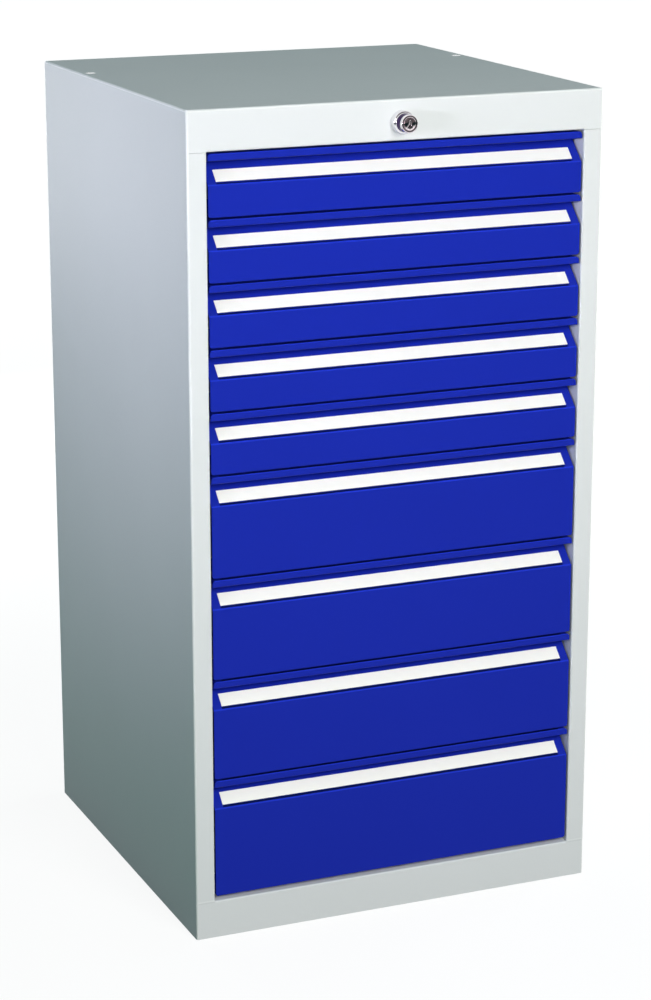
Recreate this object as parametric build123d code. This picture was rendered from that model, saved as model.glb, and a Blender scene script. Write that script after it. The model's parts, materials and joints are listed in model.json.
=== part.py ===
from build123d import *
import os

# Carcass: one folded wrapper of sheet steel with a back, a base and four slotted uprights
width = 525.0
depth = 525.0
shell_sheet = 1.5
shell_bend = 3.0
facet_share = 2 - 2 ** 0.5
post_width = 24.0
post_return = 25.0
post_seam = 0.4
top_rail_height = 48.0
bottom_rail_height = 47.0
rail_end_return = 8.0
opening_bend = 2.0
rear_flange = 15.0
back_sheet = 1.2
back_fit = 1.6
base_flange = 25.0
floor_bolt_diameter = 9.0
floor_bolt_inset = 62.5
plug_diameter = 12.0
plug_fit = 0.1
plug_collar_diameter = 15.0
plug_collar_height = 1.5
plug_side_inset = 13.0
plug_rear_inset = 150.0

# Drawers: their heights in slot pitches from the top one down, and the gaps round the fronts
slot_pitch = 25.0
drawer_units = [3, 3, 3, 3, 3, 5, 5, 5, 6]
top_gap = 2.5
front_gap = 2.5
lowest_gap = 5.0
side_gap = 2.0
front_set_back = 2.0

# Drawer front: one folded sheet with a finger recess under its lip and a label channel
front_sheet = 1.2
front_bend = 1.2
front_corner = 4.0
lip_height = 8.0
recess_depth = 24.0
recess_fall = 4.4
grip_height = 36.0
front_box_depth = 25.7
joint_flange = 30.0
foot_flange = 18.0
label_start = 11.7
label_width = 16.7
label_sheet = 0.8
label_end_inset = 11.0
channel_width = 3.3
channel_depth = 2.4
channel_wall = 0.8

# Drawer tray: an open box of thinner sheet with a folded rim and a catch at its back
tray_sheet = 1.0
tray_lift = 8.0
tray_drop = 14.0
rim_height = 8.0
catch_width = 30.0
catch_length = 18.0
catch_sheet = 2.0
catch_lip = 12.0
catch_lift = 36.0

# Telescopic slides: three nested channels each side, seen from the opening's edge inwards
slide_height = 45.0
slide_lift = 2.0
slide_width = 12.7
slide_front_gap = 0.8
rail_sheet = 1.5
rail_reach = 12.0
mid_sheet = 1.2
mid_reach = 10.5
slide_play = 0.4

# Slotted uprights and the tongues of the cabinet rails that hang in their slots
upright_width = 30.0
upright_sheet = 1.5
upright_front_inset = 10.0
upright_rear_inset = 12.0
upright_top_gap = 12.0
slot_width = 4.0
slot_height = 11.0
tongue_thickness = 3.0
tongue_height = 10.0
tongue_reach = 4.0

# Lock cylinder in the top rail, its nut and its turning plug
lock_rise = 22.0
rose_diameter = 27.0
rose_thickness = 2.5
rose_rim = 0.8
barrel_diameter = 22.0
barrel_length = 13.0
nose_rear_diameter = 21.4
nose_front_diameter = 20.0
nose_length = 9.0
thread_diameter = 18.0
thread_length = 14.0
thread_fit = 0.2
plug_core_diameter = 14.0
plug_core_proud = 0.6
plug_core_tail = 2.0
plug_core_edge = 0.4
running_fit = 0.06
keyway_width = 1.6
keyway_height = 8.0
keyway_depth = 11.0
nut_across = 24.0
nut_thickness = 5.0
nut_fit = 0.05

# Long spindle with a crank that lifts the locking bar at the back
spindle_diameter = 8.0
crank_radius = 8.0
crank_thickness = 3.0
crank_gap = 0.5
crank_margin = 5.0
pin_diameter = 5.0
pin_play = 0.5
pin_overhang = 2.0
bracket_sheet = 2.0
bracket_width = 24.0
bracket_skirt = 10.0
bracket_foot = 15.0
bracket_gap = 5.0

# Locking bar: a flat bar with a hook for each drawer, sliding in two straps on the back
bar_width = 30.0
bar_thickness = 3.0
bar_back_space = 16.8
bar_catch_gap = 6.8
bar_foot = 15.0
bar_head = 10.0
hook_width = 12.0
hook_thickness = 2.0
hook_arm = 2.5
hook_gap = 1.2
lock_clearance = 1.5
guide_sheet = 1.5
guide_play = 0.3
guide_foot = 10.0
guide_height = 20.0

overrun = 1.0

# Places that follow from the sizes above
half_width = width / 2
front_y = -depth / 2
rear_y = depth / 2
drawer_pitches = [units * slot_pitch for units in drawer_units]
opening_height = top_gap + sum(drawer_pitches) - front_gap + lowest_gap
opening_top = bottom_rail_height + opening_height
height = opening_top + top_rail_height
opening_half = half_width - post_width
side_inner = half_width - shell_sheet
back_y = rear_y - shell_sheet - back_sheet

face_y = front_y + front_set_back
tray_front_y = face_y + front_box_depth
bar_rear_y = back_y - bar_back_space
bar_front_y = bar_rear_y - bar_thickness
catch_end_y = bar_front_y - bar_catch_gap
tray_back_y = catch_end_y - catch_length
slide_length = tray_back_y - tray_front_y
slide_front_y = tray_front_y + slide_front_gap

front_half = opening_half - side_gap
tray_half = opening_half - slide_width
upright_top = opening_top - upright_top_gap
lock_z = opening_top + lock_rise
# A quarter turn carries the crank pin from 45 degrees below the level to 45 degrees above it
pin_offset = crank_radius / 2 ** 0.5
bar_lift = 2 * pin_offset

# Levels of each drawer, from the top one down
front_tops = [opening_top - top_gap - sum(drawer_pitches[:row]) for row in range(len(drawer_pitches))]
front_bottoms = [top - pitch + front_gap for top, pitch in zip(front_tops, drawer_pitches)]
tray_bottoms = [bottom + tray_lift for bottom in front_bottoms]
slide_middles = [bottom + slide_lift + slide_height / 2 for bottom in tray_bottoms]
catch_levels = [bottom + catch_lift for bottom in tray_bottoms]
hook_levels = [level - catch_lip - lock_clearance - bar_lift for level in catch_levels]


def block(x0, x1, y0, y1, z0, z1):
    middle = Pos((x0 + x1) / 2, (y0 + y1) / 2, (z0 + z1) / 2)
    return middle * Box(x1 - x0, y1 - y0, z1 - z0)


def rod_y(radius, y0, y1, x=0, z=0):
    return Pos(x, (y0 + y1) / 2, z) * Rot(90, 0, 0) * Cylinder(radius, y1 - y0)


def cone_y(front_radius, rear_radius, y0, y1, z=0):
    return Pos(0, (y0 + y1) / 2, z) * Rot(90, 0, 0) * Cone(rear_radius, front_radius, y1 - y0)


def rod_z(radius, z0, z1, x, y):
    return Pos(x, y, (z0 + z1) / 2) * Cylinder(radius, z1 - z0)


def folded(points, sheet, bends=None):
    """Section of a folded sheet: the points run along its outer face, with the sheet on their right.

    The bends are the outer face's radii at the inner points, 0 at a sharp fold."""
    corners = [Vector(*point) for point in points]
    runs = [(end - start).normalized() for start, end in zip(corners, corners[1:])]
    sides = [Vector(run.Y, -run.X) for run in runs]
    inner = [corners[0] + sides[0] * sheet]
    for corner, side, next_side in zip(corners[1:], sides, sides[1:]):
        inner.append(corner + (side + next_side) * (sheet / (1 + side.dot(next_side))))
    inner.append(corners[-1] + sides[-1] * sheet)
    bends = bends or [0] * (len(corners) - 2)
    outer_face = FilletPolyline(*corners, radius=bends)
    inner_face = FilletPolyline(*inner, radius=[max(bend - sheet, 0) for bend in bends])
    ends = [Line(corners[0], inner[0]), Line(corners[-1], inner[-1])]
    return make_face(outer_face.edges() + inner_face.edges() + ends)


def across_y(section, y0, y1):
    """A section drawn in X and Z, run from y0 to y1."""
    plane = Plane(origin=(0, y1, 0), x_dir=(1, 0, 0), z_dir=(0, -1, 0))
    return extrude(plane * section, y1 - y0)


def across_x(section, x0, x1):
    """A section drawn in Y and Z, run from x0 to x1."""
    plane = Plane(origin=(x0, 0, 0), x_dir=(0, 1, 0), z_dir=(1, 0, 0))
    return extrude(plane * section, x1 - x0)


def both_sides(piece):
    return [mirror(piece, about=Plane.YZ), piece]


def save(name, *pieces):
    solids = [solid for piece in pieces for solid in piece.solids()]
    shape = solids[0] if len(solids) == 1 else Compound(children=solids)
    shape.label = name
    export_step(shape, os.path.join("parts", name + ".step"))


# Outer wrapper: left side, top and right side in one sheet, with the posts and the top rail folded in front
def fold_rounding(y, z, x0, x1, radius):
    """What a fold takes off a square edge that runs along X at the front and below."""
    corner = block(x0, x1, y - overrun, y + radius, z - overrun, z + radius)
    return corner - Pos((x0 + x1) / 2, y + radius, z + radius) * Rot(0, 90, 0) * Cylinder(radius, x1 - x0)


def outer_shell():
    outside = block(-half_width, half_width, front_y, rear_y, 0, height)
    upright_edges = outside.edges().filter_by(Axis.Z)
    top_edges = outside.faces().sort_by(Axis.Z)[-1].edges()
    outside = fillet(upright_edges + top_edges, shell_bend)
    inside = block(-side_inner, side_inner, front_y + shell_sheet, rear_y - shell_sheet,
                   -shell_bend, height - shell_sheet)
    upright_edges = inside.edges().filter_by(Axis.Z)
    top_edges = inside.faces().sort_by(Axis.Z)[-1].edges()
    inside = chamfer(upright_edges + top_edges, facet_share * (shell_bend - shell_sheet))
    shell = outside - inside
    shell -= block(-opening_half, opening_half, front_y - overrun, front_y + shell_bend, -overrun, opening_top)
    shell -= block(-half_width - overrun, half_width + overrun, front_y - overrun, front_y + rail_end_return,
                   -overrun, bottom_rail_height)
    shell -= block(rear_flange - half_width, half_width - rear_flange, rear_y - shell_bend, rear_y + overrun,
                   -overrun, height - rear_flange)
    post_top = opening_top - post_seam
    for post in both_sides(block(opening_half, opening_half + shell_sheet, front_y, front_y + post_return,
                                 bottom_rail_height, post_top)):
        shell += post
    shell += block(-opening_half, opening_half, front_y, front_y + post_return,
                   opening_top, opening_top + shell_sheet)
    for seam in both_sides(block(opening_half, half_width - shell_bend, front_y - overrun,
                                 front_y + post_return, post_top, opening_top)):
        shell -= seam
    inner_edges = [edge for edge in shell.edges().filter_by(Axis.Z)
                   if abs(abs(edge.center().X) - opening_half) < post_seam
                   and abs(edge.center().Y - front_y) < post_seam]
    shell = fillet(inner_edges, opening_bend)
    shell -= fold_rounding(front_y, opening_top, -opening_half, opening_half, opening_bend)
    shell -= rod_y(thread_diameter / 2 + thread_fit, front_y - overrun, front_y + shell_bend, z=lock_z)
    for hole in both_sides(rod_z(plug_diameter / 2 + plug_fit, height - shell_bend, height + overrun,
                                 half_width - plug_side_inset, rear_y - plug_rear_inset)):
        shell -= hole
    return shell


# Back: a flat sheet behind the drawers, welded against the wrapper's rear flanges
def back_panel():
    half = side_inner - back_fit
    return block(-half, half, back_y, rear_y - shell_sheet, shell_sheet, height - shell_sheet - back_fit)


# Base: a tray whose front is the bottom rail, with fixing holes to bolt it to the floor
def base_panel():
    rail = block(-half_width, half_width, front_y, front_y + rail_end_return, 0, bottom_rail_height)
    rail = fillet(rail.edges().filter_by(Axis.Z).group_by(Axis.Y)[0], shell_bend)
    hollow = block(-side_inner, side_inner, front_y + shell_sheet, front_y + rail_end_return + overrun,
                   shell_sheet, bottom_rail_height + overrun)
    hollow = fillet(hollow.edges().filter_by(Axis.Z).group_by(Axis.Y)[0], shell_bend - shell_sheet)
    base = rail - hollow
    base += block(-opening_half, opening_half, front_y + shell_sheet, front_y + post_return,
                  bottom_rail_height - shell_sheet, bottom_rail_height)
    upper_fold = mirror(fold_rounding(front_y, -bottom_rail_height, -opening_half, opening_half, opening_bend),
                        about=Plane.XY)
    base -= upper_fold
    plate = block(-side_inner, side_inner, front_y + rail_end_return, rear_y - shell_sheet, 0, shell_sheet)
    base += fillet(plate.edges().filter_by(Axis.Z).group_by(Axis.Y)[-1], shell_bend - shell_sheet)
    for flange in both_sides(block(side_inner - shell_sheet, side_inner, front_y + shell_sheet,
                                   rear_y - shell_bend, 0, base_flange)):
        base += flange
    base += block(back_fit - side_inner, side_inner - back_fit, back_y - shell_sheet, back_y, 0, base_flange)
    bolt_x = half_width - floor_bolt_inset
    bolt_y = rear_y - floor_bolt_inset
    for y in (-bolt_y, bolt_y):
        for hole in both_sides(rod_z(floor_bolt_diameter / 2, -overrun, shell_sheet + overrun, bolt_x, y)):
            base -= hole
    return base


# Uprights: channels with a ladder of slots, standing inside each side
def upright_places():
    front_middle = slide_front_y + upright_front_inset + upright_width / 2
    rear_middle = slide_front_y + slide_length - upright_rear_inset - upright_width / 2
    return [front_middle, rear_middle]


def upright(middle_y):
    near = middle_y - upright_width / 2
    far = middle_y + upright_width / 2
    section = folded([(side_inner, near), (opening_half, near), (opening_half, far), (side_inner, far)],
                     upright_sheet)
    channel = extrude(Pos(0, 0, base_flange) * section, upright_top - base_flange)
    slots = [block(opening_half - overrun, opening_half + upright_sheet + overrun,
                   middle_y - slot_width / 2, middle_y + slot_width / 2,
                   slide_middles[-1] + row * slot_pitch - slot_height / 2,
                   slide_middles[-1] + row * slot_pitch + slot_height / 2)
             for row in range(sum(drawer_units) - 1)]
    return channel - slots


# Slides: a channel section for one telescopic member on the right-hand side
def channel_section(web, reach, half_height, middle, sheet):
    """The web lies at the distance given inwards from the opening's edge, and the legs reach on from it."""
    x = opening_half - web
    points = [(x - reach, middle + half_height), (x, middle + half_height),
              (x, middle - half_height), (x - reach, middle - half_height)]
    if reach < 0:
        points.reverse()
    return folded(points, sheet)


def cabinet_rail(middle):
    section = channel_section(0, rail_reach, slide_height / 2, middle, rail_sheet)
    rail = across_y(section, slide_front_y, slide_front_y + slide_length)
    for y in upright_places():
        rail += block(opening_half - rail_sheet, opening_half + tongue_reach,
                      y - tongue_thickness / 2, y + tongue_thickness / 2,
                      middle - tongue_height / 2, middle + tongue_height / 2)
    return rail


mid_web = rail_sheet + slide_play
mid_half_height = slide_height / 2 - rail_sheet - slide_play
runner_reach = slide_width - mid_web - mid_sheet - slide_play
runner_half_height = mid_half_height - mid_sheet - slide_play


def mid_rail(middle):
    section = channel_section(mid_web, mid_reach, mid_half_height, middle, mid_sheet)
    return across_y(section, slide_front_y, slide_front_y + slide_length)


def drawer_runner(middle):
    section = channel_section(slide_width, -runner_reach, runner_half_height, middle, mid_sheet)
    return across_y(section, tray_front_y, tray_back_y)


# Tray: four walls and a bottom, with the rim folded in along the top and the catch behind
def drawer_tray(row):
    bottom = tray_bottoms[row]
    top = front_tops[row] - tray_drop
    tray = block(-tray_half, tray_half, tray_front_y, tray_back_y, bottom, top)
    tray -= block(tray_sheet - tray_half, tray_half - tray_sheet,
                  tray_front_y + tray_sheet, tray_back_y - tray_sheet, bottom + tray_sheet, top + overrun)
    rim_inside = tray_half - 2 * tray_sheet
    rim = block(-tray_half, tray_half, tray_front_y, tray_back_y, top - rim_height, top)
    rim -= block(-rim_inside, rim_inside, tray_front_y + 2 * tray_sheet, tray_back_y - 2 * tray_sheet,
                 top - rim_height - overrun, top + overrun)
    level = catch_levels[row]
    plate = block(-catch_width / 2, catch_width / 2, tray_back_y, catch_end_y, level, level + catch_sheet)
    lip = block(-catch_width / 2, catch_width / 2, catch_end_y - catch_sheet, catch_end_y,
                level - catch_lip, level + catch_sheet)
    return tray + rim + plate + lip


# Front: the folded sheet, its corners rounded, with the label channel pressed into the slope of the recess
def recess_plane(top):
    """Plane on the slope: X runs down the slope from the inner fold, Z stands out of it."""
    slope_fall = grip_height - lip_height - recess_fall
    inner_fold = (0, face_y + recess_depth, top - lip_height - recess_fall)
    return Plane(origin=inner_fold, x_dir=(0, -recess_depth, -slope_fall), z_dir=(0, -slope_fall, recess_depth))


def drawer_front(row):
    top = front_tops[row]
    bottom = front_bottoms[row]
    back = face_y + front_box_depth
    section = folded([(back, bottom + foot_flange), (back, bottom), (face_y, bottom),
                      (face_y, top - grip_height), (face_y + recess_depth, top - lip_height - recess_fall),
                      (face_y, top - lip_height), (face_y, top), (back, top), (back, top - joint_flange)],
                     front_sheet, [0, front_bend, front_bend, 0, front_bend, front_bend, 0])
    front = across_x(section, -front_half, front_half)
    outline = block(-front_half, front_half, face_y, back, bottom, top)
    outline = fillet(outline.edges().filter_by(Axis.Y), front_corner)
    front &= outline
    label_end = label_start + label_width
    half = front_half - label_end_inset
    channel_end = label_end + channel_width
    channel = block(label_end - channel_wall, channel_end + channel_wall, -half - channel_wall,
                    half + channel_wall, -channel_depth - channel_wall, -front_sheet / 2)
    groove = block(label_end, channel_end, -half, half, -channel_depth, overrun)
    plane = recess_plane(top)
    return front + plane * channel - plane * groove


# Label: a strip laid on the slope of the recess, above its channel
def label_strip(row):
    half = front_half - label_end_inset
    strip = block(label_start, label_start + label_width, -half, half, 0, label_sheet)
    return recess_plane(front_tops[row]) * strip


# Lock: a housing with its rose, held by a nut behind the top rail, and the plug that turns in it
rose_front_y = front_y - rose_thickness
barrel_front_y = rose_front_y - barrel_length
nose_front_y = barrel_front_y - nose_length


def lock_housing():
    rim_front_y = front_y - rose_rim
    rose = rod_y(rose_diameter / 2, rim_front_y, front_y, z=lock_z)
    rose += cone_y(barrel_diameter / 2, rose_diameter / 2, rose_front_y, rim_front_y, z=lock_z)
    barrel = rod_y(barrel_diameter / 2, barrel_front_y, rose_front_y, z=lock_z)
    nose = cone_y(nose_front_diameter / 2, nose_rear_diameter / 2, nose_front_y, barrel_front_y, z=lock_z)
    body = rod_y(thread_diameter / 2, front_y, front_y + thread_length, z=lock_z)
    bore = rod_y(plug_core_diameter / 2 + running_fit, nose_front_y - overrun, front_y + thread_length + overrun,
                 z=lock_z)
    return rose + barrel + nose + body - bore


def lock_nut():
    section = RegularPolygon(radius=nut_across / 2, side_count=6, major_radius=False)
    section -= Circle(thread_diameter / 2 + nut_fit)
    return Pos(0, 0, lock_z) * across_y(section, front_y + shell_sheet, front_y + shell_sheet + nut_thickness)


plug_face_y = nose_front_y - plug_core_proud
plug_end_y = front_y + thread_length + plug_core_tail


def lock_plug():
    core = rod_y(plug_core_diameter / 2, plug_face_y, plug_end_y, z=lock_z)
    core = chamfer(core.edges().filter_by(GeomType.CIRCLE).sort_by(Axis.Y)[0], plug_core_edge)
    keyway = block(-keyway_width / 2, keyway_width / 2, plug_face_y - overrun, plug_face_y + keyway_depth,
                   lock_z - keyway_height / 2, lock_z + keyway_height / 2)
    return core - keyway


# Spindle: a rod from the plug to the back, with a crank whose pin stands in the locking bar's slot
crank_rear_y = bar_front_y - crank_gap
crank_front_y = crank_rear_y - crank_thickness


def lock_spindle():
    rod = rod_y(spindle_diameter / 2, plug_end_y, crank_rear_y, z=lock_z)
    arm = make_hull(Circle(crank_margin).edges() + (Pos(-pin_offset, -pin_offset) * Circle(crank_margin)).edges())
    crank = Pos(0, 0, lock_z) * across_y(arm, crank_front_y, crank_rear_y)
    pin = rod_y(pin_diameter / 2, crank_rear_y, bar_rear_y + pin_overhang, x=-pin_offset, z=lock_z - pin_offset)
    return rod + crank + pin


def spindle_bracket():
    plate_rear_y = crank_front_y - bracket_gap
    plate_front_y = plate_rear_y - bracket_sheet
    roof = height - shell_sheet
    plate = block(-bracket_width / 2, bracket_width / 2, plate_front_y, plate_rear_y, lock_z - bracket_skirt, roof)
    foot = block(-bracket_width / 2, bracket_width / 2, plate_rear_y - bracket_foot, plate_rear_y,
                 roof - bracket_sheet, roof)
    hole = rod_y(spindle_diameter / 2 + running_fit, plate_front_y - overrun, plate_rear_y + overrun, z=lock_z)
    return plate + foot - hole


# Locking bar: its hooks rise in front of the drawers' catches when the crank lifts it
def lock_bar():
    low_pin = lock_z - pin_offset
    bar = block(-bar_width / 2, bar_width / 2, bar_front_y, bar_rear_y,
                hook_levels[-1] - bar_foot, low_pin + bar_head)
    slot_half = pin_diameter / 2 + pin_play
    bar -= block(-crank_radius - slot_half, slot_half - pin_offset, bar_front_y - overrun, bar_rear_y + overrun,
                 low_pin - slot_half, low_pin + slot_half)
    tab_rear_y = catch_end_y - catch_sheet - hook_gap
    tab_front_y = tab_rear_y - hook_thickness
    for level in hook_levels:
        bar += block(-hook_width / 2, hook_width / 2, tab_front_y, bar_front_y, level - hook_arm, level)
        bar += block(-hook_width / 2, hook_width / 2, tab_front_y, tab_rear_y, level - hook_arm, level + bar_lift)
    return bar


def bar_guide(middle):
    leg = bar_width / 2 + guide_play + guide_sheet
    web_y = bar_front_y - guide_play - guide_sheet
    section = folded([(leg + guide_foot, back_y - guide_sheet), (leg, back_y - guide_sheet), (leg, web_y),
                      (-leg, web_y), (-leg, back_y - guide_sheet), (-leg - guide_foot, back_y - guide_sheet)],
                     guide_sheet)
    return extrude(Pos(0, 0, middle - guide_height / 2) * section, guide_height)


# Plugs: round discs that close the two fixing holes flush with the top, on a collar under the sheet
def top_plug():
    x = half_width - plug_side_inset
    y = rear_y - plug_rear_inset
    under = height - shell_sheet
    disc = rod_z(plug_diameter / 2, under, height, x, y)
    return disc + rod_z(plug_collar_diameter / 2, under - plug_collar_height, under, x, y)


os.makedirs("parts", exist_ok=True)

save("outer_shell", outer_shell())
save("back_panel", back_panel())
save("base_panel", base_panel())
uprights = [both_sides(upright(y)) for y in upright_places()]
save("uprights_left", *[pair[0] for pair in uprights])
save("uprights_right", *[pair[1] for pair in uprights])
rails = [both_sides(cabinet_rail(middle)) for middle in slide_middles]
save("cabinet_rails_left", *[pair[0] for pair in rails])
save("cabinet_rails_right", *[pair[1] for pair in rails])
save("top_plugs", *both_sides(top_plug()))
save("lock_housing", lock_housing())
save("lock_nut", lock_nut())
save("lock_plug", lock_plug())
save("lock_spindle", lock_spindle())
save("spindle_bracket", spindle_bracket())
save("lock_bar", lock_bar())
guide_levels = [(hook_levels[0] + hook_levels[1]) / 2, (hook_levels[-2] + hook_levels[-1]) / 2]
save("bar_guides", *[bar_guide(level) for level in guide_levels])
for row in range(len(drawer_units)):
    number = str(row + 1)
    save("drawer_front_" + number, drawer_front(row))
    save("drawer_tray_" + number, drawer_tray(row))
    save("label_strip_" + number, label_strip(row))
    save("drawer_runners_" + number, *both_sides(drawer_runner(slide_middles[row])))
    save("mid_rails_" + number, *both_sides(mid_rail(slide_middles[row])))
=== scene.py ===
import json
import math

import bpy
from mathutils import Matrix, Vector


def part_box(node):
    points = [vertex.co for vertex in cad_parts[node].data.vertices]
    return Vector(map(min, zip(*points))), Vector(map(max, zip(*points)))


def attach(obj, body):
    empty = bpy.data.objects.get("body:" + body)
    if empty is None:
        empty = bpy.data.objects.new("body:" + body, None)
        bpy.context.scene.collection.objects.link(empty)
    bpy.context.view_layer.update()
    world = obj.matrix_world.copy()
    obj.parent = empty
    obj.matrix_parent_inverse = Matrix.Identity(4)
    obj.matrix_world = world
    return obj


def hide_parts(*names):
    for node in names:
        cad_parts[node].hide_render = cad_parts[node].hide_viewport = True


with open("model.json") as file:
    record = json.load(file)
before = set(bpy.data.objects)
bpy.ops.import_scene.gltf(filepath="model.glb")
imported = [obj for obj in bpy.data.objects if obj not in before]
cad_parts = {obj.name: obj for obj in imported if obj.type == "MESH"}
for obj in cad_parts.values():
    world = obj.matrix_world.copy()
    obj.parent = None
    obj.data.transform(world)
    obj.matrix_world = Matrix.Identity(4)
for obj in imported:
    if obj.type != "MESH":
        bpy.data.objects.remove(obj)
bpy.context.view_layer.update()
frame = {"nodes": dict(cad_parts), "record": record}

# Places on the solids, from the frame
mm = 0.001
drawers = range(1, 10)
post_width = 24.0 * mm
label_end_inset = 11.0 * mm
shell_low, shell_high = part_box("outer_shell")
half_width = shell_high[0]
front_face = shell_low[1]
top_face = shell_high[2]
opening_half = half_width - post_width
rail_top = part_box("base_panel")[1][2]
front_low, front_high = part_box("drawer_front_1")
drawer_half = front_high[0]
drawer_face = front_low[1]
lock_axis = Vector((0.0, front_face, 0.974))


# Camera at the photograph's viewing angle
looks_down = 15.58
turned_right = 22.97
camera_data = bpy.data.cameras.new("camera")
camera_data.lens = 98.64
camera = bpy.data.objects.new("camera", camera_data)
bpy.context.scene.collection.objects.link(camera)
camera.location = (-1.307, -3.124, 1.400)
camera.rotation_euler = (math.radians(90 - looks_down), 0, math.radians(-turned_right))
bpy.context.scene.camera = camera
bpy.context.scene.view_settings.view_transform = "Standard"


# What every finish is mixed from
def new_node(tree, kind, values=(), links=()):
    """A new node, with these values at its inputs and these outputs of other nodes linked to them."""
    node = tree.nodes.new(kind)
    for socket, value in dict(values).items():
        node.inputs[socket].default_value = value
    for socket, output in dict(links).items():
        tree.links.new(output, node.inputs[socket])
    return node


def new_finish(name):
    """A new material with its nodes, its shader and the place on the cabinet that its patterns read."""
    finish = bpy.data.materials.new(name)
    finish.use_nodes = True
    tree = finish.node_tree
    place = new_node(tree, "ShaderNodeTexCoord")
    return finish, tree, tree.nodes["Principled BSDF"], place.outputs["Object"]


def grain(tree, where, scale, detail=2.0, roughness=0.5):
    noise = new_node(tree, "ShaderNodeTexNoise",
                     {"Scale": scale, "Detail": detail, "Roughness": roughness}, {"Vector": where})
    return noise.outputs["Fac"]


def spread(tree, value, low, high, start=0.3, stop=0.7):
    """The value's span from start to stop, spread from low to high."""
    span = new_node(tree, "ShaderNodeMapRange",
                    {"From Min": start, "From Max": stop, "To Min": low, "To Max": high}, {"Value": value})
    return span.outputs["Result"]


def colour_mix(tree, share):
    """A mix of two colours: the input for each, and the colour that it gives."""
    mix = new_node(tree, "ShaderNodeMix")
    mix.data_type = "RGBA"
    tree.links.new(share, mix.inputs[0])
    first_in, second_in = [socket for socket in mix.inputs if socket.type == "RGBA"]
    colour_out = [socket for socket in mix.outputs if socket.type == "RGBA"][0]
    return first_in, second_in, colour_out


def two_tones(tree, share, first, second):
    first_in, second_in, tone = colour_mix(tree, share)
    first_in.default_value = (*first, 1)
    second_in.default_value = (*second, 1)
    return tone


def painted_over(tree, share, under, over):
    under_in, over_in, tone = colour_mix(tree, share)
    tree.links.new(under, under_in)
    over_in.default_value = (*over, 1)
    return tone


def combined(tree, operation, values):
    """The values joined two by two by one operation, such as MULTIPLY or MAXIMUM."""
    result = values[0]
    for value in values[1:]:
        join = new_node(tree, "ShaderNodeMath", links={0: result, 1: value})
        join.operation = operation
        result = join.outputs["Value"]
    return result


def distance_from_middle(tree, value):
    size = new_node(tree, "ShaderNodeMath", links={0: value})
    size.operation = "ABSOLUTE"
    return size.outputs["Value"]


def between(tree, value, low, high, fade):
    """1 where the value lies between low and high, fading to 0 beyond them."""
    return combined(tree, "MULTIPLY", [spread(tree, value, 0, 1, low - fade, low),
                                       spread(tree, value, 1, 0, high, high + fade)])


def along(tree, where):
    """The three coordinates of a place, each on its own."""
    return new_node(tree, "ShaderNodeSeparateXYZ", links={0: where}).outputs


def dented(tree, shader, height, strength, distance):
    bump = new_node(tree, "ShaderNodeBump",
                    {"Strength": strength, "Distance": distance}, {"Height": height})
    tree.links.new(bump.outputs["Normal"], shader.inputs["Normal"])


# Painted light and shade on the paint. Beside a fold it is painted pale as a highlight, fading out between
# these distances from the edge
fold_highlight_full = 2.0 * mm
fold_highlight_end = 2.8 * mm


def at_the_side(tree, place):
    sideways = distance_from_middle(tree, place["X"])
    return spread(tree, sideways, 0, 1, half_width - fold_highlight_end, half_width - fold_highlight_full)


def at_the_top(tree, place):
    return spread(tree, place["Z"], 0, 1, top_face - fold_highlight_end, top_face - fold_highlight_full)


def upper_fold_highlights(tree, where):
    """The folds between the carcass's sides and its top, painted pale as a highlight."""
    place = along(tree, where)
    return combined(tree, "MULTIPLY", [at_the_side(tree, place), at_the_top(tree, place)])


def front_fold_highlights(tree, where):
    """The folds round the carcass's front, with a weaker painted highlight."""
    place = along(tree, where)
    outer = combined(tree, "MAXIMUM", [at_the_side(tree, place), at_the_top(tree, place)])
    at_the_front = spread(tree, place["Y"], 1, 0, front_face + fold_highlight_full, front_face + fold_highlight_end)
    return combined(tree, "MULTIPLY", [outer, at_the_front])


def on_the_posts(tree, where, low, high):
    """A line across the front of both posts between two heights, with soft edges."""
    place = along(tree, where)
    sideways = distance_from_middle(tree, place["X"])
    return combined(tree, "MULTIPLY", [
        spread(tree, sideways, 0, 1, opening_half - 0.5 * mm, opening_half + 0.5 * mm),
        spread(tree, place["Y"], 1, 0, front_face + 0.3 * mm, front_face + 1.3 * mm),
        between(tree, place["Z"], low, high, fade=0.6 * mm)])


def joint_ridge_highlight(tree, where):
    """The dressed weld where the posts stand on the bottom rail: paler paint just above it, a painted
    highlight as on a ridge.
    """
    return on_the_posts(tree, where, rail_top + 0.4 * mm, rail_top + 1.4 * mm)


def joint_shade(tree, where):
    """Painted shade, as in a shallow hollow just below the weld."""
    return on_the_posts(tree, where, rail_top - 1.4 * mm, rail_top - 0.8 * mm)


def on_recess_slope(tree, where, front, rear, reach):
    """The slope of the finger recesses between two depths, as far to each side as it reaches."""
    fade = 0.3 * mm
    place = along(tree, where)
    sideways = distance_from_middle(tree, place["X"])
    facing = new_node(tree, "ShaderNodeNewGeometry")
    upward = along(tree, facing.outputs["Normal"])["Z"]
    return combined(tree, "MULTIPLY", [
        spread(tree, upward, 0, 1, 0.3, 0.5),
        between(tree, place["Y"], drawer_face + front, drawer_face + rear, fade),
        spread(tree, sideways, 1, 0, reach, reach + fade)])


def label_channel_shade(tree, where):
    """Painted shade in the grooves under the label strips, where little light comes."""
    return on_recess_slope(tree, where, 1.4 * mm, 5.5 * mm, drawer_half - label_end_inset)


def channel_brink_highlights(tree, where):
    """The narrow brink between each label channel and the front's face, painted brighter as a highlight
    along the fold.
    """
    return on_recess_slope(tree, where, -0.5 * mm, 1.3 * mm, drawer_half)


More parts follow.
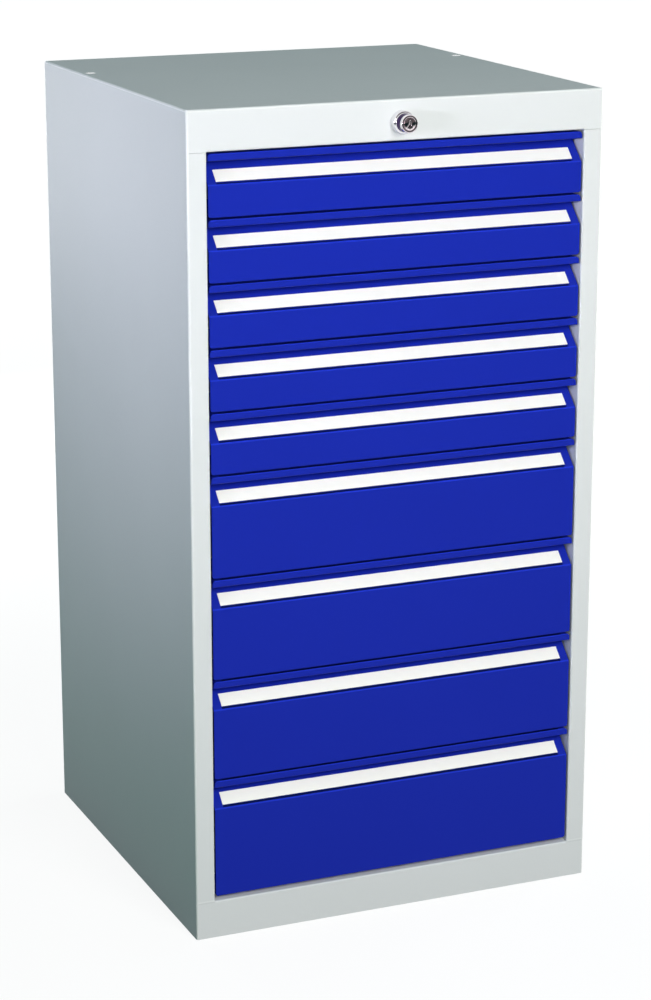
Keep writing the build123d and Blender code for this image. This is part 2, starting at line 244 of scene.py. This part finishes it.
# Finishes
def powder_coat(name, colour, cloud, gloss, specular, peel, marks=()):
    """Baked powder paint: a fine orange peel, a faint cloudiness and a slightly uneven gloss."""
    finish, tree, shader, where = new_finish(name)
    clouds = spread(tree, grain(tree, where, 5.0, 3.0), 0.0, 1.0)
    darker = [c * (1 - cloud) for c in colour]
    lighter = [min(c * (1 + cloud), 1.0) for c in colour]
    paint = two_tones(tree, clouds, darker, lighter)
    for mark, mark_colour in marks:
        paint = painted_over(tree, mark(tree, where), paint, mark_colour)
    tree.links.new(paint, shader.inputs["Base Color"])
    ripple = grain(tree, where, 330.0, 2.0, 0.4)
    speck = grain(tree, where, 1100.0, 1.0)
    speck_share = 0.5
    peeled = new_node(tree, "ShaderNodeMath", {1: speck_share}, {0: speck})
    peeled.operation = "MULTIPLY_ADD"
    tree.links.new(ripple, peeled.inputs[2])
    tree.links.new(spread(tree, ripple, gloss - 0.05, gloss + 0.06), shader.inputs["Roughness"])
    dented(tree, shader, peeled.outputs["Value"], peel, 0.3 * mm)
    shader.inputs["Specular IOR Level"].default_value = specular
    return finish


def zinc_plate(name, colour, roughness):
    """Zinc-plated steel: small crystal flakes that catch the light, and a fine tooth."""
    finish, tree, shader, where = new_finish(name)
    flakes = new_node(tree, "ShaderNodeTexVoronoi", {"Scale": 180.0}, {"Vector": where})
    channels = new_node(tree, "ShaderNodeSeparateColor", links={"Color": flakes.outputs["Color"]})
    flake = channels.outputs[0]
    plate = two_tones(tree, flake, [c * 0.88 for c in colour], colour)
    uneven = spread(tree, flake, roughness - 0.06, roughness + 0.08, 0, 1)
    tree.links.new(plate, shader.inputs["Base Color"])
    tree.links.new(uneven, shader.inputs["Roughness"])
    dented(tree, shader, grain(tree, where, 700.0, 2.0), 0.15, 0.2 * mm)
    shader.inputs["Metallic"].default_value = 1.0
    return finish


def turned_chrome(name, colour, reflection_bands, roughness):
    """Bright plate on a turned part: fine rings about the lock's axis, softer patches, and bands of painted
    reflection.

    Each band has its front, its rear and its colour, both places counted from the carcass's front."""
    finish, tree, shader, where = new_finish(name)
    mapping = new_node(tree, "ShaderNodeMapping", {"Location": -lock_axis}, {"Vector": where})
    centred = mapping.outputs["Vector"]
    rings = new_node(tree, "ShaderNodeTexWave",
                     {"Scale": 900.0, "Distortion": 1.5, "Detail": 2.0}, {"Vector": centred})
    rings.wave_type = "RINGS"
    rings.rings_direction = "Y"
    patch = grain(tree, centred, 160.0, 2.0)
    plate = two_tones(tree, patch, [c * 0.92 for c in colour], colour)
    depth = along(tree, centred)["Y"]
    # Each band paints a reflection's colour over the plate.
    for front, rear, reflection_colour in reflection_bands:
        plate = painted_over(tree, between(tree, depth, front, rear, fade=0.8 * mm), plate, reflection_colour)
    tree.links.new(plate, shader.inputs["Base Color"])
    tree.links.new(spread(tree, patch, roughness, roughness + 0.06), shader.inputs["Roughness"])
    dented(tree, shader, rings.outputs["Fac"], 0.04, 0.1 * mm)
    shader.inputs["Metallic"].default_value = 1.0
    return finish


def label_paper(name):
    """White card under a clear strip: faint fibres, a faint painted glow that makes it whiter, a clear
    gloss.
    """
    finish, tree, shader, where = new_finish(name)
    fibre = grain(tree, where, 1400.0, 3.0)
    card = two_tones(tree, fibre, (0.975, 0.96, 0.89), (0.985, 0.975, 0.91))
    tree.links.new(card, shader.inputs["Base Color"])
    tree.links.new(spread(tree, fibre, 0.35, 0.5), shader.inputs["Roughness"])
    dented(tree, shader, fibre, 0.05, 0.1 * mm)
    shader.inputs["Specular IOR Level"].default_value = 0.6
    shader.inputs["Coat Weight"].default_value = 0.8
    shader.inputs["Coat Roughness"].default_value = 0.15
    # Painted light: a faint glow that lifts the card above what the lamps give it.
    shader.inputs["Emission Color"].default_value = (1.0, 1.0, 1.0, 1)
    shader.inputs["Emission Strength"].default_value = 0.05
    return finish


def moulded_plastic(name, colour, roughness):
    """Glossy moulded plastic with a faint grain."""
    finish, tree, shader, where = new_finish(name)
    erosion = grain(tree, where, 900.0, 2.0)
    skin = two_tones(tree, erosion, [c * 0.96 for c in colour], colour)
    tree.links.new(skin, shader.inputs["Base Color"])
    tree.links.new(spread(tree, erosion, roughness - 0.05, roughness + 0.08), shader.inputs["Roughness"])
    dented(tree, shader, erosion, 0.04, 0.1 * mm)
    shader.inputs["Coat Weight"].default_value = 1.0
    shader.inputs["Coat Roughness"].default_value = 0.03
    return finish


# The carcass's paint carries painted light: pale lines as painted highlights on the weld and along the
# folds, and a darker line as painted shade below the weld.
carcass_marks = [(joint_ridge_highlight, (0.78, 0.80, 0.80)), (joint_shade, (0.655, 0.675, 0.68)),
                 (upper_fold_highlights, (0.99, 0.99, 0.97)), (front_fold_highlights, (0.80, 0.82, 0.81))]
# The fronts' paint carries painted shade in the label channels and a painted highlight along their brinks.
front_marks = [(label_channel_shade, (0.002, 0.006, 0.07)), (channel_brink_highlights, (0.015, 0.038, 0.58))]
# On the lock, a dark violet band on the nose is a painted dark reflection, and a pinkish grey band on the
# face darkens it as a painted reflection tone.
lock_reflection_bands = [(-19.5 * mm, -11.2 * mm, (0.045, 0.022, 0.085)), (-26.0 * mm, -24.3 * mm, (0.85, 0.76, 0.79))]

finishes = {
    "carcass_grey": powder_coat("light grey powder coat", (0.715, 0.735, 0.74),
                                cloud=0.012, gloss=0.5, specular=0.15, peel=0.22, marks=carcass_marks),
    "tray_grey": powder_coat("tray grey powder coat", (0.60, 0.62, 0.625),
                             cloud=0.015, gloss=0.5, specular=0.35, peel=0.2),
    "front_blue": powder_coat("blue powder coat", (0.0095, 0.0225, 0.37),
                              cloud=0.015, gloss=0.42, specular=0.1, peel=0.18, marks=front_marks),
    "zinc_steel": zinc_plate("zinc plate", (0.63, 0.65, 0.67), roughness=0.36),
    "lock_chrome": turned_chrome("polished chrome", (0.84, 0.83, 0.85), lock_reflection_bands, roughness=0.05),
    "label_white": label_paper("label card"),
    "plug_white": moulded_plastic("white plug plastic", (0.93, 0.94, 0.93), roughness=0.15),
}

# Each solid has the finish of its slot in the record
for part in frame["record"]["subparts"]:
    solid = frame["nodes"][part["node"]]
    solid.data.materials.clear()
    solid.data.materials.append(finishes[part["material_slot"]])


# Small turned pieces
def turned(name, profile, facets, filled=False):
    """A piece turned about Z from its profile, whose points are each a radius and a height in mm."""
    bpy.ops.object.select_all(action="DESELECT")
    radius, height = profile[0]
    bpy.ops.mesh.primitive_circle_add(vertices=facets, radius=radius * mm, location=(0, 0, height * mm),
                                      fill_type="NGON" if filled else "NOTHING")
    piece = bpy.context.object
    piece.name = name
    bpy.ops.object.transform_apply(location=True, rotation=True, scale=True)
    bpy.ops.object.mode_set(mode="EDIT")
    bpy.ops.mesh.select_all(action="SELECT")
    for next_radius, next_height in profile[1:]:
        rise = (next_height - height) * mm
        bpy.ops.mesh.extrude_region_move(TRANSFORM_OT_translate={"value": (0, 0, rise)})
        share = next_radius / radius
        bpy.ops.transform.resize(value=(share, share, 1), center_override=(0, 0, next_height * mm))
        radius, height = next_radius, next_height
    bpy.ops.mesh.select_all(action="SELECT")
    bpy.ops.mesh.remove_doubles(threshold=0.001 * mm)
    bpy.ops.mesh.normals_make_consistent(inside=False)
    bpy.ops.object.mode_set(mode="OBJECT")
    return piece


def rounded(piece, width, rounds=3):
    """Breaks the piece's sharp edges, by a width in millimetres."""
    bevel = piece.modifiers.new("broken edges", "BEVEL")
    bevel.width = width * mm
    bevel.segments = rounds
    bevel.limit_method = "ANGLE"
    bevel.angle_limit = math.radians(25)
    bpy.context.view_layer.objects.active = piece
    bpy.ops.object.modifier_apply(modifier=bevel.name)
    piece.select_set(True)
    bpy.ops.object.shade_smooth_by_angle(angle=math.radians(35))


def put(piece, location, rotation):
    """Sets the piece in its place, with its origin left at the frame's."""
    bpy.ops.object.select_all(action="DESELECT")
    piece.select_set(True)
    bpy.context.view_layer.objects.active = piece
    piece.location = location
    piece.rotation_euler = rotation
    bpy.ops.object.transform_apply(location=True, rotation=True, scale=True)


def cut_by(piece, centre, size):
    """Cuts a block out of the piece, its centre and size in millimetres."""
    bpy.ops.object.select_all(action="DESELECT")
    bpy.ops.mesh.primitive_cube_add(size=1, location=[c * mm for c in centre],
                                    scale=[s * mm for s in size])
    block = bpy.context.object
    bpy.ops.object.transform_apply(location=True, rotation=True, scale=True)
    cut = piece.modifiers.new("cut", "BOOLEAN")
    cut.operation = "DIFFERENCE"
    cut.object = block
    bpy.context.view_layer.objects.active = piece
    bpy.ops.object.modifier_apply(modifier=cut.name)
    bpy.data.objects.remove(block)


def finished(piece, body, slot):
    """Gives the piece its finish and the body that it moves with."""
    piece.data.materials.clear()
    piece.data.materials.append(finishes[slot])
    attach(piece, body)


# Lock: a thick collar with a sloping shoulder and the nose in front of it, and the plug with its keyway
to_the_front = (math.pi / 2, 0, 0)
bore = 7.06
collar_profile = [(bore, -14), (9, -14), (9, 0), (13.4, 0), (13.4, 9.4), (10.6, 10.4), (10.3, 24.5),
                  (bore, 24.5), (bore, -14)]
collar = turned("lock_collar", collar_profile, facets=96)
rounded(collar, 0.9)
put(collar, lock_axis, to_the_front)
finished(collar, "carcass", "lock_chrome")
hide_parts("lock_housing")

keyway = (1.6, 8, 11)
keyway_ward = (2.8, 1.2, 10)
plug = turned("keyed_plug", [(7, -16), (7, 25.1)], facets=96, filled=True)
cut_by(plug, (0, 0, 20.1), keyway)
cut_by(plug, (0, -1.6, 20.6), keyway_ward)
rounded(plug, 0.25, rounds=2)
put(plug, lock_axis, to_the_front)
finished(plug, "lock", "lock_chrome")
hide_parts("lock_plug")


# Rivets: one head, copied wherever sheets are riveted together
head_profile = [(3.2, 0), (3.2, 0.3), (2.9, 0.8), (2.3, 1.2), (1.5, 1.5), (0.6, 1.6)]
rivet_head = turned("rivet_head", head_profile, facets=20, filled=True)
to_the_left = (0, -math.pi / 2, 0)
to_the_right = (0, math.pi / 2, 0)
to_the_back = (-math.pi / 2, 0, 0)


def rivet_group(name, body, slot, places):
    """Rivet heads, each at a place and turned to one side, as one piece."""
    heads = []
    for place, turn in places:
        head = rivet_head.copy()
        head.data = rivet_head.data.copy()
        bpy.context.scene.collection.objects.link(head)
        put(head, place, turn)
        heads.append(head)
    bpy.ops.object.select_all(action="DESELECT")
    for head in heads:
        head.select_set(True)
    bpy.context.view_layer.objects.active = heads[0]
    bpy.ops.object.join()
    rivets = bpy.context.object
    rivets.name = name
    bpy.ops.object.shade_smooth_by_angle(angle=math.radians(60))
    finished(rivets, body, slot)


# They hold each tray to its front and to the runners at its sides
tray_wall = 1.0 * mm
for number in drawers:
    low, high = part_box("drawer_tray_" + str(number))
    runner_low, runner_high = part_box("drawer_runners_" + str(number))
    front_z = low[2] + 0.4 * (high[2] - low[2])
    runner_z = (runner_low[2] + runner_high[2]) / 2
    places = [((x, low[1] + tray_wall, front_z), to_the_back) for x in (-0.18, -0.06, 0.06, 0.18)]
    for y in (-0.20, -0.01, 0.18):
        places.append(((low[0] + tray_wall, y, runner_z), to_the_right))
        places.append(((high[0] - tray_wall, y, runner_z), to_the_left))
    rivet_group("drawer_rivets_" + str(number), "drawer_" + str(number), "zinc_steel", places)

# They hold the back sheet to the carcass all round, painted over with it
low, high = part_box("back_panel")
sunk = high[1] - 0.3 * mm
column = [0.06 + 0.11 * step for step in range(9)]
places = [((x, sunk, z), to_the_back) for x in (-0.238, 0.238) for z in column]
places += [((x, sunk, z), to_the_back) for x in (-0.12, 0.0, 0.12) for z in (0.03, 0.97)]
rivet_group("back_rivets", "carcass", "carcass_grey", places)
bpy.data.objects.remove(rivet_head)


# Lamps
def soft_lamp(name, place, target, wide, high, power, colour, beam=180, mirrored=True):
    """A soft box aimed at its target. Bright surfaces mirror it, unless mirrored is False."""
    data = bpy.data.lights.new(name, "AREA")
    data.shape = "RECTANGLE"
    data.size = wide
    data.size_y = high
    data.energy = power
    data.color = colour
    data.spread = math.radians(beam)
    lamp = bpy.data.objects.new(name, data)
    bpy.context.scene.collection.objects.link(lamp)
    lamp.location = place
    direction = Vector(target) - lamp.location
    lamp.rotation_euler = direction.to_track_quat("-Z", "Y").to_euler()
    lamp.visible_camera = False
    lamp.visible_glossy = mirrored


warm_white = (1.0, 0.965, 0.945)
soft_white = (1.0, 0.975, 0.965)
cool_violet = (0.82, 0.79, 0.96)
white = (1.0, 1.0, 1.0)
soft_lamp("key", (0.0, -2.8, 1.30), (0, -0.26, 0.7),
          wide=1.2, high=1.0, power=42, colour=warm_white, mirrored=False)
soft_lamp("upper_key", (0.3, -2.86, 1.90), (0, -0.26, 0.8),
          wide=1.2, high=0.8, power=31.8, colour=warm_white, mirrored=False)
soft_lamp("front_left", (-1.42, -2.44, 1.3), (-0.1, -0.2, 0.7),
          wide=1.0, high=1.0, power=4.6, colour=soft_white)
soft_lamp("left", (-2.3, -0.9, 1.1), (-0.26, 0.0, 0.9),
          wide=1.0, high=0.3, power=2.0, colour=cool_violet, beam=40)
soft_lamp("right", (2.2, 0.3, 0.8), (0.26, 0.0, 0.5), wide=1.0, high=1.0, power=25, colour=white)
soft_lamp("back", (-0.3, 2.6, 0.8), (0.0, 0.26, 0.5), wide=1.2, high=1.0, power=34, colour=white)


# Studio, white all round but for the unlit room behind the camera, which only polished metal shows
def ray_is(tree, *kinds):
    """1 for the rays of these kinds, 0 for the rest."""
    rays = new_node(tree, "ShaderNodeLightPath")
    return combined(tree, "MAXIMUM", [rays.outputs[kind] for kind in kinds])


def ray_shows_it(tree):
    """1 for the rays that show a surface, 0 for those that carry its light to another."""
    return ray_is(tree, "Is Camera Ray", "Is Glossy Ray", "Is Transmission Ray")


def blended(tree, share, first, second):
    return new_node(tree, "ShaderNodeMixShader", links={0: share, 1: first, 2: second}).outputs[0]


def studio_world(name):
    """The studio looks white all round, while the light that comes from there is weaker and greener."""
    world = bpy.data.worlds.new(name)
    world.use_nodes = True
    tree = world.node_tree
    fill = tree.nodes["Background"]
    fill.inputs["Color"].default_value = (0.28, 0.95, 1.0, 1)
    fill.inputs["Strength"].default_value = 0.13
    white_room = new_node(tree, "ShaderNodeBackground", {"Color": (1, 1, 1, 1)})
    dark_room = new_node(tree, "ShaderNodeBackground", {"Color": (0.12, 0.105, 0.11, 1)})
    camera_side = Vector((0.30, -0.95, 0.05)).normalized()
    around = new_node(tree, "ShaderNodeTexCoord").outputs["Generated"]
    towards = new_node(tree, "ShaderNodeVectorMath", {1: camera_side}, {0: around})
    towards.operation = "DOT_PRODUCT"
    behind_camera = spread(tree, towards.outputs["Value"], 0, 1, 0.55, 0.8)
    darkness = combined(tree, "MULTIPLY", [behind_camera, ray_is(tree, "Is Glossy Ray")])
    backdrop = blended(tree, darkness, white_room.outputs[0], dark_room.outputs[0])
    studio = blended(tree, ray_shows_it(tree), fill.outputs[0], backdrop)
    tree.links.new(studio, tree.nodes["World Output"].inputs["Surface"])
    return world


def floor_paper(name):
    """Pale paper that glows up to white, but for the part behind the camera.

    The light that it throws on the cabinet is a little greener from the left."""
    finish, tree, shader, where = new_finish(name)
    place = along(tree, where)
    shader.inputs["Roughness"].default_value = 0.8
    shader.inputs["Specular IOR Level"].default_value = 0.0
    paper = two_tones(tree, grain(tree, where, 3.0), (0.115, 0.12, 0.12), (0.125, 0.13, 0.13))
    tree.links.new(paper, shader.inputs["Base Color"])
    reach = new_node(tree, "ShaderNodeVectorMath", links={0: where})
    reach.operation = "LENGTH"
    brightness = spread(tree, reach.outputs["Value"], 0.9, 1.0, 0.8, 3.5)
    glow = new_node(tree, "ShaderNodeEmission", links={"Strength": brightness})
    lit = new_node(tree, "ShaderNodeAddShader", links={0: glow.outputs[0], 1: shader.outputs[0]})
    behind_camera = spread(tree, place["Y"], 1, 0, -3.4, -2.8)
    darkness = combined(tree, "MULTIPLY", [behind_camera, ray_is(tree, "Is Glossy Ray")])
    paper_seen = blended(tree, darkness, lit.outputs[0], shader.outputs[0])
    on_the_left = spread(tree, place["X"], 1, 0, -0.45, -0.25)
    thrown_colour = two_tones(tree, on_the_left, (0.12, 0.14, 0.135), (0.08, 0.205, 0.16))
    thrown_back = new_node(tree, "ShaderNodeBsdfDiffuse", links={"Color": thrown_colour})
    surface = blended(tree, ray_shows_it(tree), thrown_back.outputs[0], paper_seen)
    tree.links.new(surface, tree.nodes["Material Output"].inputs["Surface"])
    return finish


bpy.context.scene.world = studio_world("studio")
bpy.ops.object.select_all(action="DESELECT")
bpy.ops.mesh.primitive_plane_add(size=60, location=(0, 0, 0))
floor = bpy.context.object
floor.name = "studio_floor"
floor.data.materials.append(floor_paper("pale floor"))
